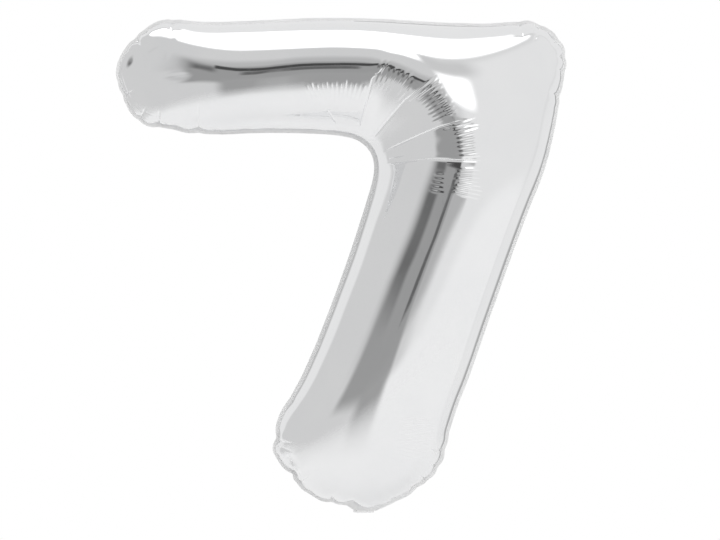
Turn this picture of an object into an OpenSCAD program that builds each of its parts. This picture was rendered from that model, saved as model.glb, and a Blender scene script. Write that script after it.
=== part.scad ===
// Foil number balloon: a numeral 7 blown up from two flat foil panels.
// The panels are welded to each other round the edge, and a self-sealing film valve
// runs through the neck at the foot of the leg. The neck is stored folded up behind.
//
// X runs to the right, Y runs to the back and Z runs up. The origin is the middle of
// the fold line where the neck leaves the lower edge, which is where a ribbon is tied.
// All sizes are in millimetres and belong to the balloon when it is full.

/* [Numeral] */
// Length of the leg, from the centre of the inner bend to the lower end
leg_len = 546; // [430:1:650]
// Width of the leg between its seams, level with the inner bend
leg_w = 258; // [210:1:300]
// Growth of the leg's width for each millimetre of its length
leg_flare = 0.045; // [0:0.005:0.08]
// Lean of the leg's inner edge from upright, in degrees
leg_lean = 21.6; // [10:0.1:30]
// Length of the leg's round lower end along its outer edge
foot_outer_len = 146; // [110:1:180]
// Length of the leg's round lower end along its inner edge
foot_inner_len = 80; // [60:1:110]
// Height of the arm between its seams
arm_w = 185; // [150:1:220]
// Length of the arm's straight stretch, left of the inner bend
arm_len = 304; // [240:1:370]
// Length of the arm's round left end
arm_end_len = 90; // [70:1:110]
// Radius of the inner bend, measured to the seam
bend_r = 67; // [50:1:85]
// Sharpness of the outer corner: a higher value is a tighter corner
corner_power = 6; // [5:1:12]

/* [Fullness] */
// Swell of the arm on each side of the seam
arm_swell = 93; // [70:1:115]
// Swell of the leg on each side of the seam
leg_swell = 134; // [100:1:165]
// Distance over which the arm swells up from its end
arm_rise_len = 250; // [200:1:300]
// Distance over which the leg swells up from its end
leg_rise_len = 350; // [280:1:420]

/* [Foil] */
// Wall that stands for the foil, which is really a tenth of this
foil_t = 0.8; // [0.6:0.05:1]
// Width of the flat welded edge outside the seam
flange_w = 5; // [3:0.5:8]

/* [Neck] */
// Length of the neck from its fold to its mouth
neck_len = 75; // [60:1:110]
// Width of the weld along each edge of the neck
neck_weld_w = 5; // [3:0.5:6]
// Angle that the stored neck is turned back and up from hanging straight down
neck_stow = 110; // [95:1:112]
// Bare film left at the fold on each side, beyond what the fold itself takes up
fold_clear = 0.27; // [0.2:0.01:1]

/* [Valve] */
// Width of the flat film valve
valve_w = 24; // [18:1:30]
// Room left between the valve and the neck's weld on each side
valve_side_gap = 1; // [0.5:0.5:3]
// Thickness that stands for one valve film
valve_t = 0.35; // [0.3:0.05:0.4]
// Clear gap between the two valve films
valve_gap = 0.5; // [0.4:0.05:0.6]
// Length of the valve inside the balloon
valve_in_len = 80; // [60:1:110]
// Length of the valve inside the neck
valve_neck_len = 45; // [35:1:55]
// Width of the weld along each edge of the valve
valve_weld_w = 2.5; // [2:0.5:4]
// Thickness that stands for the bond between the valve and the foil on each side
valve_bond_t = 0.3; // [0.2:0.05:0.5]
// Length of the bond that holds the valve's outer end to the foil
valve_bond_len = 4; // [3:0.5:8]
// Thickness of the heat-proof print that keeps the valve open under the edge weld
print_t = 0.15; // [0.1:0.05:0.2]

/* [Detail] */
// Sections along the arm's round end
arm_end_steps = 6; // [4:1:8]
// Sections along the arm's straight stretch
arm_steps = 8; // [5:1:10]
// Sections from the bend's start to its outer corner
corner_top_steps = 10; // [6:1:12]
// Sections from the outer corner to the bend's end
corner_side_steps = 8; // [5:1:10]
// Sections along the leg's straight stretch
leg_steps = 10; // [6:1:12]
// Sections along the leg's round end
foot_steps = 8; // [5:1:10]
// Facets across each section
across = 18; // [12:2:22]

/* [Hidden] */

// Share of the foot's width, from the inner edge, at which the foot is longest
foot_tip_share = 0.56;
// Power of the curve at the foot's inner corner, which is squarer than an ellipse
foot_inner_power = 4;
// Power of the swell near the arm's end and near the leg's end
arm_rise_power = 1.05;
leg_rise_power = 0.5;
// Share of the bend by which the arm's swell has grown to the leg's
swell_growth_share = 0.75;
// Power of an elliptical section, and what the outer corner adds to it
round_power = 0.5;
corner_flatness = 0.4;
// How much closer together the bend's sections are towards the outer corner
crowding = 1.5;
// Direction in which the foot's last section is taken, just short of its tip
foot_last_turn = 84;

// The melted layer between the panels is as thick as the valve bonded between them
film_in = valve_gap / 2;
film_out = film_in + valve_t;
weld_half = film_out + valve_bond_t;
weld_t = 2 * weld_half;
// The neck's channel takes the valve, and its welds lie outside the channel
neck_channel_w = valve_w + 2 * valve_side_gap;
neck_w = neck_channel_w + 2 * neck_weld_w;
// The folded foil takes up this much on each side of the fold line
fold_gap = (weld_half + foil_t) * tan(neck_stow / 2) + fold_clear;
seam_low_z = fold_gap + flange_w;
// Height to which the neck's channel is cut, past the curve of the lower edge
channel_cut_h = seam_low_z + 2 * flange_w;

// Leg frame: its length runs along leg_dir, and its width along leg_side
leg_dir = [-sin(leg_lean), -cos(leg_lean)];
leg_side = [cos(leg_lean), -sin(leg_lean)];
foot_tip_r = bend_r + leg_w * foot_tip_share;
foot_outer_start = leg_len - foot_outer_len;
foot_inner_start = leg_len - foot_inner_len;
bend_turn = 90 + leg_lean;

function leg_point(s, r) = leg_dir * s + leg_side * r;
function smooth(v) = let(t = min(max(v, 0), 1)) t * t * (3 - 2 * t);
function leg_outer(s) = bend_r + leg_w + leg_flare * s;
function past(s, start, len) = min(max((s - start) / len, 0), 1);
function foot_outer(s) =
  foot_tip_r + (leg_outer(s) - foot_tip_r) * sqrt(1 - pow(past(s, foot_outer_start, foot_outer_len), 2));
function foot_inner(s) =
  foot_tip_r - (foot_tip_r - bend_r)
    * pow(1 - pow(past(s, foot_inner_start, foot_inner_len), foot_inner_power), 1 / foot_inner_power);

// Distance from the bend's centre to the outer edge in a direction, with a rounded corner
function to_top(a) = sin(a) > 0.01 ? (bend_r + arm_w) / sin(a) : 1e6;
function to_side(a) =
  let(c = cos(a + leg_lean) + leg_flare * sin(a + leg_lean))
  c > 0.01 ? (bend_r + leg_w) / c : 1e6;
function corner_reach(a) =
  pow(pow(to_top(a), -corner_power) + pow(to_side(a), -corner_power), -1 / corner_power);

function arm_height(t) = arm_swell * pow(1 - pow(1 - min(t / arm_rise_len, 1), 2), arm_rise_power);
function leg_height(t) = leg_swell * pow(1 - pow(1 - min(t / leg_rise_len, 1), 2), leg_rise_power);

// A section is [inner edge point, outer edge point, swell, power of the outer half],
// with its points measured from the bend's centre in the plane of the seam
arm_mid = bend_r + arm_w / 2;
arm_end_sections = [
  for (i = [1:arm_end_steps])
    let(a = 90 * i / arm_end_steps, x = -arm_len - arm_end_len * cos(a), half = arm_w / 2 * sin(a))
    [[x, arm_mid - half], [x, arm_mid + half], arm_height(arm_end_len * (1 - cos(a))), round_power]
];
arm_sections = [
  for (i = [1:arm_steps])
    let(x = -arm_len * (1 - i / arm_steps))
    [[x, bend_r], [x, bend_r + arm_w], arm_height(arm_end_len + arm_len + x), round_power]
];
// Where the top edge and the leg's outer edge would meet if the corner weren't rounded
corner = leg_point_at_top(bend_r + arm_w);
function leg_point_at_top(z) =
  let(s = -(z + sin(leg_lean) * (bend_r + leg_w)) / (cos(leg_lean) + leg_flare * sin(leg_lean)))
  leg_point(s, leg_outer(s));
side_end = leg_point(0, leg_outer(0));

// Directions in which the bend is cut, closest together at the outer corner
bend_angles = concat(
  [
    for (i = [1:corner_top_steps])
      atan2(corner.y, corner.x * (1 - pow(1 - i / corner_top_steps, crowding)))
  ],
  [
    for (i = [1:corner_side_steps])
      let(p = corner + (side_end - corner) * pow(i / corner_side_steps, crowding))
      atan2(p.y, p.x)
  ]
);
bend_sections = [
  for (a = bend_angles)
    let(f = (90 - a) / bend_turn, u = [cos(a), sin(a)])
    [
      u * bend_r, u * corner_reach(a),
      arm_swell + (leg_swell - arm_swell) * smooth(f / swell_growth_share),
      round_power + corner_flatness * pow(sin(180 * f), 2)
    ]
];
leg_sections = [
  for (i = [1:leg_steps])
    let(s = foot_outer_start * i / leg_steps)
    [leg_point(s, bend_r), leg_point(s, leg_outer(s)), leg_height(leg_len - s), round_power]
];
foot_sections = [
  for (i = [1:foot_steps])
    let(s = foot_outer_start + foot_outer_len * sin(foot_last_turn * i / foot_steps))
    [leg_point(s, foot_inner(s)), leg_point(s, foot_outer(s)), leg_height(leg_len - s), round_power]
];
raw_sections = concat(arm_end_sections, arm_sections, bend_sections, leg_sections, foot_sections);
raw_arm_tip = [-arm_len - arm_end_len, arm_mid];
raw_foot_tip = leg_point(leg_len, foot_tip_r);

// The lowest point of the seam is brought to the neck
lowest_z = min([for (q = raw_sections) min(q[0].y, q[1].y)]);
lowest_x = [for (q = raw_sections) for (p = [q[0], q[1]]) if (p.y == lowest_z) p.x][0];
shift = [-lowest_x, seam_low_z - lowest_z];

sections = [for (q = raw_sections) [q[0] + shift, q[1] + shift, q[2], q[3]]];
arm_tip = raw_arm_tip + shift;
foot_tip = raw_foot_tip + shift;
count = len(sections);
loop_count = 2 * count + 2;

// The seam as a closed loop: arm tip, outer edge, foot tip, inner edge
seam_loop = concat(
  [arm_tip], [for (q = sections) q[1]], [foot_tip], [for (j = [count - 1:-1:0]) sections[j][0]]
);
function loop_normal(i) =
  let(
    a = seam_loop[(i + loop_count - 1) % loop_count],
    b = seam_loop[(i + 1) % loop_count],
    t = (b - a) / norm(b - a)
  )
  [-t.y, t.x];
function offset_loop(d) = [for (i = [0:loop_count - 1]) seam_loop[i] + loop_normal(i) * d];
edge_loop = offset_loop(flange_w);
inset_loop = offset_loop(-foil_t);

function bulge(a, outer_power) =
  let(q = -cos(a)) pow(1 - q * q, q > 0 ? outer_power : round_power);

// One face of a panel: the swollen skin, its two tips, and the edge of its flange
function skin(loop, y) = concat(
  [
    for (j = [0:count - 1]) for (k = [0:across])
      let(
        a = 180 * k / across,
        p = loop[2 * count + 1 - j] * (1 + cos(a)) / 2 + loop[j + 1] * (1 - cos(a)) / 2
      )
      [p.x, -y - sections[j][2] * bulge(a, sections[j][3]), p.y]
  ],
  [for (p = [loop[0], loop[count + 1]]) [p.x, -y, p.y]],
  [for (p = edge_loop) [p.x, -y, p.y]]
);
grid_size = count * (across + 1);
skin_size = grid_size + 2 + loop_count;

function grid_id(j, k) = j * (across + 1) + k;
function loop_id(i) =
  i == 0 ? grid_size
  : i <= count ? grid_id(i - 1, across)
  : i == count + 1 ? grid_size + 1
  : grid_id(2 * count + 1 - i, 0);
function edge_id(i) = grid_size + 2 + i;
function next(i) = (i + 1) % loop_count;
function flipped(faces) = [for (f = faces) [f[2], f[1], f[0]]];
function moved(faces, by) = [for (f = faces) [f[0] + by, f[1] + by, f[2] + by]];

skin_faces = concat(
  [
    for (j = [0:count - 2]) for (k = [0:across - 1])
      each [
        [grid_id(j, k), grid_id(j + 1, k + 1), grid_id(j + 1, k)],
        [grid_id(j, k), grid_id(j, k + 1), grid_id(j + 1, k + 1)]
      ]
  ],
  [for (k = [0:across - 1]) [grid_size, grid_id(0, k + 1), grid_id(0, k)]],
  [for (k = [0:across - 1]) [grid_size + 1, grid_id(count - 1, k), grid_id(count - 1, k + 1)]],
  [
    for (i = [0:loop_count - 1])
      each [
        [loop_id(i), edge_id(next(i)), loop_id(next(i))],
        [loop_id(i), edge_id(i), edge_id(next(i))]
      ]
  ]
);
flange_wall = [
  for (i = [0:loop_count - 1])
    each [
      [edge_id(i), edge_id(next(i)) + skin_size, edge_id(next(i))],
      [edge_id(i), edge_id(i) + skin_size, edge_id(next(i)) + skin_size]
    ]
];

// A flat strip of film in the plane of the seam, from one height down to another
module strip(x0, x1, y0, y1, z0, z1) {
  translate([x0, y0, z0]) cube([x1 - x0, y1 - y0, z1 - z0]);
}

module panel() {
  polyhedron(
    points = concat(skin(seam_loop, weld_half + foil_t), skin(inset_loop, weld_half)),
    faces = concat(skin_faces, moved(flipped(skin_faces), skin_size), flange_wall)
  );
}

// Carries a piece of the hanging neck to its stored place
module stowed() {
  rotate([neck_stow, 0, 0]) children();
}

module mirrored_pair() {
  children();
  mirror([1, 0, 0]) children();
}

module front_foil() {
  color("silver") panel();
}

module back_foil() {
  color("silver") mirror([0, 1, 0]) panel();
}

module edge_weld() {
  color("gainsboro") rotate([90, 0, 0]) linear_extrude(height = weld_t, center = true)
    difference() {
      polygon(edge_loop);
      polygon(seam_loop);
      translate([-neck_channel_w / 2, 0]) square([neck_channel_w, channel_cut_h]);
    }
}

module valve_front_film() {
  color("white") strip(-valve_w / 2, valve_w / 2, -film_out, -film_in, fold_gap, fold_gap + valve_in_len);
}

module valve_back_film() {
  color("white") strip(-valve_w / 2, valve_w / 2, film_in, film_out, fold_gap, fold_gap + valve_in_len);
}

module valve_edge_welds() {
  color("white") mirrored_pair()
    strip(valve_w / 2 - valve_weld_w, valve_w / 2, -film_in, film_in, fold_gap, fold_gap + valve_in_len);
}

module valve_heatproof_print() {
  half = valve_w / 2 - valve_weld_w;
  color("slategray") strip(-half, half, -film_in, print_t - film_in, fold_gap, fold_gap + 2 * flange_w);
}

module neck_front_foil() {
  color("silver") stowed()
    strip(-neck_w / 2, neck_w / 2, -weld_half - foil_t, -weld_half, -neck_len, -fold_gap);
}

module neck_back_foil() {
  color("silver") stowed()
    strip(-neck_w / 2, neck_w / 2, weld_half, weld_half + foil_t, -neck_len, -fold_gap);
}

module neck_edge_welds() {
  color("gainsboro") stowed() mirrored_pair()
    strip(neck_channel_w / 2, neck_w / 2, -weld_half, weld_half, -neck_len, -fold_gap);
}

module neck_valve_front_film() {
  color("white") stowed()
    strip(-valve_w / 2, valve_w / 2, -film_out, -film_in, -valve_neck_len, -fold_gap);
}

module neck_valve_back_film() {
  color("white") stowed()
    strip(-valve_w / 2, valve_w / 2, film_in, film_out, -valve_neck_len, -fold_gap);
}

module neck_valve_edge_welds() {
  color("white") stowed() mirrored_pair()
    strip(valve_w / 2 - valve_weld_w, valve_w / 2, -film_in, film_in, -valve_neck_len, -fold_gap);
}

module neck_valve_bonds() {
  color("gainsboro") stowed() {
    strip(-valve_w / 2, valve_w / 2, -weld_half, -film_out, -valve_neck_len, valve_bond_len - valve_neck_len);
    strip(-valve_w / 2, valve_w / 2, film_out, weld_half, -valve_neck_len, valve_bond_len - valve_neck_len);
  }
}

front_foil();
back_foil();
edge_weld();
valve_front_film();
valve_back_film();
valve_edge_welds();
valve_heatproof_print();
neck_front_foil();
neck_back_foil();
neck_edge_welds();
neck_valve_front_film();
neck_valve_back_film();
neck_valve_edge_welds();
neck_valve_bonds();
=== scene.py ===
import math

import bmesh
import bpy
import numpy as np
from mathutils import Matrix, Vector
from mathutils.geometry import delaunay_2d_cdt


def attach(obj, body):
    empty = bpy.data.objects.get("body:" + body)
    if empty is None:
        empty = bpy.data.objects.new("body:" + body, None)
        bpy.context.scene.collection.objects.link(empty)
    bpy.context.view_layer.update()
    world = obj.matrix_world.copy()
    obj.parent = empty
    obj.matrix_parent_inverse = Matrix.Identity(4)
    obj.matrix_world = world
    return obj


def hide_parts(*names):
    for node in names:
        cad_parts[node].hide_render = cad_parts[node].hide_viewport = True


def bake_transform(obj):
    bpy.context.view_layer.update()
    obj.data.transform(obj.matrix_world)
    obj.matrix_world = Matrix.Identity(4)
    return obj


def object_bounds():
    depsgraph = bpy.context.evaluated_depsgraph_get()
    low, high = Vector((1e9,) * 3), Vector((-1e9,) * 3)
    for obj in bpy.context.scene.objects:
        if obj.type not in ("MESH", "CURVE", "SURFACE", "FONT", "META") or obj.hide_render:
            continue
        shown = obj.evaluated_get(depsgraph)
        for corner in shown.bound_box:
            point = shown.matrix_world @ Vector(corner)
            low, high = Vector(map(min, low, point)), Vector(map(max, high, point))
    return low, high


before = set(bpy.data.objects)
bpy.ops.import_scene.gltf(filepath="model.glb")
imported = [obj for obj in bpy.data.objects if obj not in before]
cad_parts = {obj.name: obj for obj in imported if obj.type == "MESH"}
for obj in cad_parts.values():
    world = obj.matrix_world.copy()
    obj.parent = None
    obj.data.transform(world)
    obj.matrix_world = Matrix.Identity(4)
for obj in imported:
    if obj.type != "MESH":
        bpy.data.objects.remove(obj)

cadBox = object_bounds()


def mm(value):
    # millimetres, which the film is worked in, to the frame's metres
    return value * 0.001


def startPiece():
    if bpy.context.object and bpy.context.object.mode != "OBJECT":
        bpy.ops.object.mode_set(mode="OBJECT")
    bpy.ops.object.select_all(action="DESELECT")


def newPiece(name, points, faces, smooth=True):
    mesh = bpy.data.meshes.new(name)
    mesh.from_pydata([tuple(p) for p in points], [], [tuple(int(v) for v in f) for f in faces])
    mesh.validate()
    piece = bpy.data.objects.new(name, mesh)
    bpy.context.scene.collection.objects.link(piece)
    for polygon in mesh.polygons:
        polygon.use_smooth = smooth
    return piece


# camera and studio

studio = {
    "aim": (-0.006, 0, 0.425),  # middle of the view, in the frame
    "distance": 3.5,
    "lens": 100,
    "floorDrop": 0.55,  # below the balloon
    "floorRadius": 3.2,
    "floorFade": (0.2, 0.95),  # shares of the radius between which the paper fades out
    "floorPaper": 0.85,
}


def makeCamera():
    data = bpy.data.cameras.new("camera")
    data.lens = studio["lens"]
    data.sensor_width = 36
    data.clip_end = 50
    camera = bpy.data.objects.new("camera", data)
    bpy.context.scene.collection.objects.link(camera)
    aim = Vector(studio["aim"])
    camera.location = aim + Vector((0, -studio["distance"], 0))
    camera.rotation_euler = (math.radians(90), 0, 0)
    bpy.context.scene.camera = camera


def mathNode(tree, operation, a, b=0.0, clamp=False):
    node = tree.nodes.new("ShaderNodeMath")
    node.operation = operation
    node.use_clamp = clamp
    for socket, value in zip(node.inputs, (a, b)):
        if hasattr(value, "links"):
            tree.links.new(value, socket)
        else:
            socket.default_value = value
    return node.outputs[0]


def windowNode(tree, value, low, high, soft):
    # 1 between low and high, 0 outside
    up = tree.nodes.new("ShaderNodeMapRange")
    up.interpolation_type = "SMOOTHSTEP"
    tree.links.new(value, up.inputs["Value"])
    up.inputs["From Min"].default_value = low - soft
    up.inputs["From Max"].default_value = low + soft
    down = tree.nodes.new("ShaderNodeMapRange")
    down.interpolation_type = "SMOOTHSTEP"
    tree.links.new(value, down.inputs["Value"])
    down.inputs["From Min"].default_value = high - soft
    down.inputs["From Max"].default_value = high + soft
    return mathNode(tree, "SUBTRACT", up.outputs[0], down.outputs[0])


# what the foil mirrors: each panel is laid over those before it
# turn from the camera towards +X and height above the horizon, both in degrees; a panel with
# a lean has its height measured from a line that falls by that much for each degree of turn
softPanels = [
    {"turn": (-400, -116), "height": (-100, 100), "soft": 4, "light": 0.84},  # white paper behind
    {"turn": (116, 400), "height": (-100, 100), "soft": 4, "light": 0.84},
    {"turn": (-400, 400), "height": (-100, -44), "soft": 8, "light": 0.88},  # pale floor
    {"turn": (8, 116), "height": (-100, 60), "soft": 8, "light": 0.82},  # right wall
    {"turn": (-4, 116), "height": (-50, -13), "soft": 2.5, "light": 0.90},  # bright screen, low right
    {"turn": (-104, -6), "height": (53, 100), "soft": 5, "light": 2.4},  # overhead
    {"turn": (-6, 104), "height": (66, 100), "soft": 5, "light": 2.4},
    {"turn": (-400, 400), "height": (76, 100), "soft": 4, "light": 2.4},
    {"turn": (-2, 34), "height": (43, 60), "soft": 6, "light": 0.62},  # edge of the overhead light
    {"turn": (1, 26), "height": (18, 40), "soft": 5, "light": 1.8},  # lamp, high right
    {"turn": (-52, -2), "height": (9, 26), "soft": 6, "light": 0.50},  # above the camera
    # gap round the camera, then the second and third parts of it
    {"turn": (-47, -20), "height": (-21, 7), "lean": 0.36, "soft": 4, "light": 0.34},
    {"turn": (-24, -3), "height": (-12, 15), "soft": 2.5, "light": 0.34},
    {"turn": (-4, 20), "height": (-5, 4), "soft": 2.5, "light": 0.47},
    {"turn": (-43, -28), "height": (-4, 4), "lean": 0.36, "soft": 3.5, "light": 0.15},
    {"turn": (-25, -4), "height": (-40, -8), "soft": 5, "light": 0.36},
    {"turn": (-28, -3), "height": (2.2, 8), "lean": 0.36, "soft": 1.2, "light": 0.065},  # darkest slot
    {"turn": (-12, -7.5), "height": (-1, 5), "soft": 1, "light": 0.13},
    {"turn": (148, 200), "height": (-34, 24), "soft": 5, "light": 0.42},  # dim room far behind
    {"turn": (-172, -150), "height": (-34, 24), "soft": 6, "light": 0.50},
    {"turn": (156, 200), "height": (4, 13), "soft": 3, "light": 0.10},
]
wallLight = 0.66  # what is left: the left wall


def makeWorld():
    # the foil sees the panels, the camera sees plain white
    world = bpy.data.worlds.new("studio")
    bpy.context.scene.world = world
    world.use_nodes = True
    tree = world.node_tree
    tree.nodes.clear()
    direction = tree.nodes.new("ShaderNodeTexCoord").outputs["Generated"]
    axes = tree.nodes.new("ShaderNodeSeparateXYZ")
    tree.links.new(direction, axes.inputs[0])
    x, y, z = axes.outputs
    turn = mathNode(tree, "ARCTAN2", x, mathNode(tree, "MULTIPLY", y, -1))
    turn = mathNode(tree, "MULTIPLY", turn, 180 / math.pi)
    height = mathNode(tree, "MULTIPLY", mathNode(tree, "ARCSINE", z), 180 / math.pi)
    total = mathNode(tree, "ADD", wallLight, 0.0)
    for panel in softPanels:
        across = windowNode(tree, turn, *panel["turn"], panel["soft"])
        rise = mathNode(tree, "ADD", height, mathNode(tree, "MULTIPLY", turn, panel.get("lean", 0)))
        up = windowNode(tree, rise, *panel["height"], panel["soft"])
        layer = tree.nodes.new("ShaderNodeMix")
        layer.data_type = "FLOAT"
        tree.links.new(mathNode(tree, "MULTIPLY", across, up), layer.inputs[0])
        tree.links.new(total, layer.inputs[2])
        layer.inputs[3].default_value = panel["light"]
        total = layer.outputs[0]
    seen = tree.nodes.new("ShaderNodeLightPath").outputs["Is Camera Ray"]
    mix = tree.nodes.new("ShaderNodeMix")
    mix.data_type = "FLOAT"
    tree.links.new(seen, mix.inputs[0])
    tree.links.new(total, mix.inputs[2])
    mix.inputs[3].default_value = 1.0
    background = tree.nodes.new("ShaderNodeBackground")
    tree.links.new(mix.outputs[0], background.inputs["Color"])
    output = tree.nodes.new("ShaderNodeOutputWorld")
    tree.links.new(background.outputs[0], output.inputs[0])


def makeFloor():
    startPiece()
    z = cadBox[0].z - studio["floorDrop"]
    bpy.ops.mesh.primitive_circle_add(
        vertices=96, radius=studio["floorRadius"], fill_type="NGON", location=(0, 0, z)
    )
    floor = bpy.context.object
    floor.name = "floor"
    material = bpy.data.materials.new("floorPaper")
    material.use_nodes = True
    tree = material.node_tree
    tree.nodes.clear()
    coords = tree.nodes.new("ShaderNodeTexCoord").outputs["Object"]
    length = tree.nodes.new("ShaderNodeVectorMath")
    length.operation = "LENGTH"
    tree.links.new(coords, length.inputs[0])
    fade = tree.nodes.new("ShaderNodeMapRange")
    fade.interpolation_type = "SMOOTHSTEP"
    tree.links.new(length.outputs["Value"], fade.inputs["Value"])
    fade.inputs["From Min"].default_value = studio["floorRadius"] * studio["floorFade"][0]
    fade.inputs["From Max"].default_value = studio["floorRadius"] * studio["floorFade"][1]
    paper = tree.nodes.new("ShaderNodeBsdfPrincipled")
    paper.inputs["Base Color"].default_value = (studio["floorPaper"],) * 3 + (1,)
    paper.inputs["Roughness"].default_value = 0.8
    clear = tree.nodes.new("ShaderNodeBsdfTransparent")
    mix = tree.nodes.new("ShaderNodeMixShader")
    tree.links.new(fade.outputs[0], mix.inputs[0])
    tree.links.new(paper.outputs[0], mix.inputs[1])
    tree.links.new(clear.outputs[0], mix.inputs[2])
    output = tree.nodes.new("ShaderNodeOutputMaterial")
    tree.links.new(mix.outputs[0], output.inputs[0])
    floor.data.materials.append(material)


makeCamera()
makeWorld()
makeFloor()
bpy.context.scene.view_settings.view_transform = "Standard"
print("studio ready")

# the flat cut, in millimetres in the plane of the seam

panelCut = {
    # corners with the radius that rounds each; the film is cut to this line
    "corners": [
        (-445, 1003, 130), (-475, 783, 115), (-330, 703, 385), (-45, 623, 45), (-70, 533, 130),
        (-175, 78, 150), (-95, -52, 170), (175, -72, 200), (270, 213, 640), (385, 638, 690),
        (380, 873, 120),
    ],
    "margin": 5,  # welded margin outside the seam
    "spacing": 12,  # between points before the film is refined
}
blowing = {
    "seed": 7,
    "stretch": 60,  # stiffness of the film along its threads
    "fold": 2.0,  # stiffness against folding over
    "pressure": 0.0012,
    "firstSqueeze": (0.03, 0.03),  # stiffness against crowding: at the ends, at the inner bend
    "secondSqueeze": (0.03, 0.03),
    "bend": (-45, 623),
    "bendReach": 190,
    "firstSteps": 2200,
    "secondSteps": 700,
}


pacing = {
    # how the solver picks its steps
    "start": 0.02,
    "longest": 0.25,
    "blend": 0.1,  # share of the motion turned into the forces' direction at a step
    "patience": 5,
    "move": 3,  # furthest that a point goes in one step
}


def roundedOutline(corners, step):
    # the closed line through the corners, each rounded by its own radius
    outline = []
    for i, (x, z, radius) in enumerate(corners):
        here = np.array([x, z], float)
        before = np.array(corners[i - 1][:2], float) - here
        after = np.array(corners[(i + 1) % len(corners)][:2], float) - here
        before /= np.linalg.norm(before)
        after /= np.linalg.norm(after)
        half = math.acos(np.clip(before @ after, -1, 1)) / 2
        start = here + before * radius / math.tan(half)
        end = here + after * radius / math.tan(half)
        middle = here + (before + after) / np.linalg.norm(before + after) * radius / math.sin(half)
        a = math.atan2(start[1] - middle[1], start[0] - middle[0])
        b = math.atan2(end[1] - middle[1], end[0] - middle[0])
        turn = (b - a + math.pi) % (2 * math.pi) - math.pi
        count = max(3, int(abs(turn) * radius / step))
        for angle in np.linspace(a, a + turn, count + 1):
            outline.append(middle + radius * np.array([math.cos(angle), math.sin(angle)]))
    return np.array(outline)


def evenly(outline, spacing):
    # the same line with points at even distances
    closed = np.vstack([outline, outline[:1]])
    along = np.r_[0, np.cumsum(np.linalg.norm(np.diff(closed, axis=0), axis=1))]
    at = np.linspace(0, along[-1], int(round(along[-1] / spacing)), endpoint=False)
    return np.stack([np.interp(at, along, closed[:, k]) for k in (0, 1)], 1)


def outwards(outline):
    # a unit direction out of the outline at each of its points
    tangent = np.roll(outline, -1, 0) - np.roll(outline, 1, 0)
    tangent /= np.linalg.norm(tangent, axis=1)[:, None]
    x, z = outline.T
    side = 1 if np.sum(x * np.roll(z, -1) - np.roll(x, -1) * z) > 0 else -1
    return np.stack([tangent[:, 1], -tangent[:, 0]], 1) * side


def insideOutline(points, outline):
    x, z = points[:, 0], points[:, 1]
    inside = np.zeros(len(points), bool)
    for (x0, z0), (x1, z1) in zip(np.roll(outline, 1, 0), outline):
        if z0 != z1:
            crosses = (z0 > z) != (z1 > z)
            inside ^= crosses & (x < (x1 - x0) * (z - z0) / (z1 - z0) + x0)
    return inside


def distanceTo(points, outline):
    distance = np.full(len(points), 1e9)
    for a, b in zip(np.roll(outline, 1, 0), outline):
        edge = b - a
        share = np.clip((points - a) @ edge / (edge @ edge), 0, 1)
        distance = np.minimum(distance, np.linalg.norm(points - a - share[:, None] * edge, axis=1))
    return distance


def flatPanel(outline, spacing):
    # an even mesh of triangles inside the outline, whose points come first
    rows = np.arange(outline[:, 1].min(), outline[:, 1].max(), spacing * math.sqrt(3) / 2)
    lattice = []
    for number, z in enumerate(rows):
        x = np.arange(outline[:, 0].min() + number % 2 * spacing / 2, outline[:, 0].max(), spacing)
        lattice.append(np.stack([x, np.full(len(x), z)], 1))
    lattice = np.vstack(lattice)
    lattice = lattice[insideOutline(lattice, outline)]
    lattice = lattice[distanceTo(lattice, outline) > 0.6 * spacing]
    points = np.vstack([outline, lattice])
    border = [(i, (i + 1) % len(outline)) for i in range(len(outline))]
    found = delaunay_2d_cdt([Vector(p) for p in points], border, [], 1, 1e-4)
    order = np.array([source[0] for source in found[3]])  # each found point's number above
    return points, order[np.array(found[2])], len(outline)


def twoPanels(flat, faces, border):
    # both panels, slightly swollen, with one shared row of points along the seam
    count = len(flat)
    depth = distanceTo(flat, flat[:border])
    depth[:border] = 0
    swell = 0.25 * np.sqrt(depth * (220 - np.minimum(depth, 110)))
    front = np.stack([flat[:, 0], -swell, flat[:, 1]], 1)
    a, b, c = front[faces[:, 0]], front[faces[:, 1]], front[faces[:, 2]]
    wrong = np.cross(b - a, c - a)[:, 1] > 0
    faces = faces.copy()
    faces[wrong] = faces[wrong][:, ::-1]
    number = np.arange(count)
    backNumber = np.where(number < border, number, number + count - border)
    points = np.vstack([front, front[border:] * [1, -1, 1]])
    both = np.vstack([faces, backNumber[faces][:, ::-1]])
    return points, both, np.vstack([flat, flat[border:]]), len(faces)


def edgesAndFolds(faces):
    # every edge once, and the two tips across each edge that the film can fold at
    ends = np.sort(np.vstack([faces[:, [0, 1]], faces[:, [1, 2]], faces[:, [2, 0]]]), 1)
    opposite = np.r_[faces[:, 2], faces[:, 0], faces[:, 1]]
    key = ends[:, 0] * 10**7 + ends[:, 1]
    order = np.argsort(key, kind="stable")
    key, ends, opposite = key[order], ends[order], opposite[order]
    again = np.flatnonzero(np.r_[False, key[1:] == key[:-1]])
    return ends[np.r_[True, key[1:] != key[:-1]]], np.stack([opposite[again - 1], opposite[again]], 1)


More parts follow.
